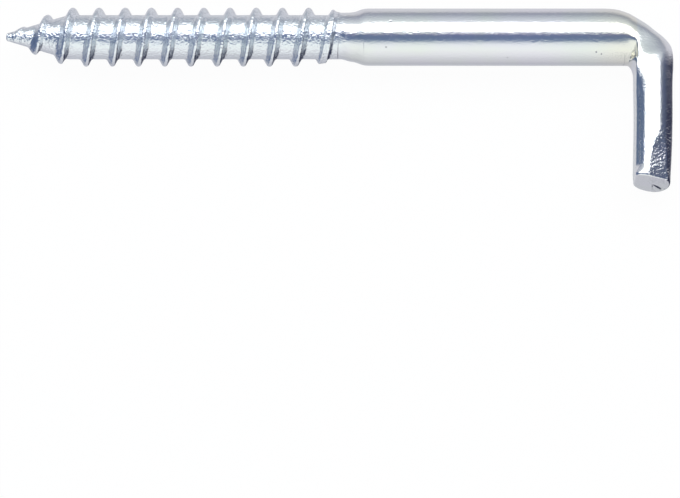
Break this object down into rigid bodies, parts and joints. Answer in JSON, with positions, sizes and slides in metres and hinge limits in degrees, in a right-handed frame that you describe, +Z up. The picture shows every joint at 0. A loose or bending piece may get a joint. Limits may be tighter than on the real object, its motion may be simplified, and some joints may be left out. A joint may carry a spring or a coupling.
{
  "type": "gate hinge pin",
  "caption": "Screw-in L-shaped gate hinge pin: zinc-plated steel wire with a wood-screw point, plain round shank and short flattened leg for a hinge eye.",
  "frame": {"origin": "where the axis of the shank meets the axis of the leg", "axes": "+X along the shank, away from the screw point; -Y along the leg to its sheared end; +Z up, square to both, as the pin lies flat"},
  "size_m": [0.07, 0.0192, 0.0065],
  "materials": {
    "zinc_plate": "bright blue-white zinc plating, finely grained"
  },
  "bodies": {
    "root": {"hinge_pin": "zinc_plate"}
  },
  "joints": []
}
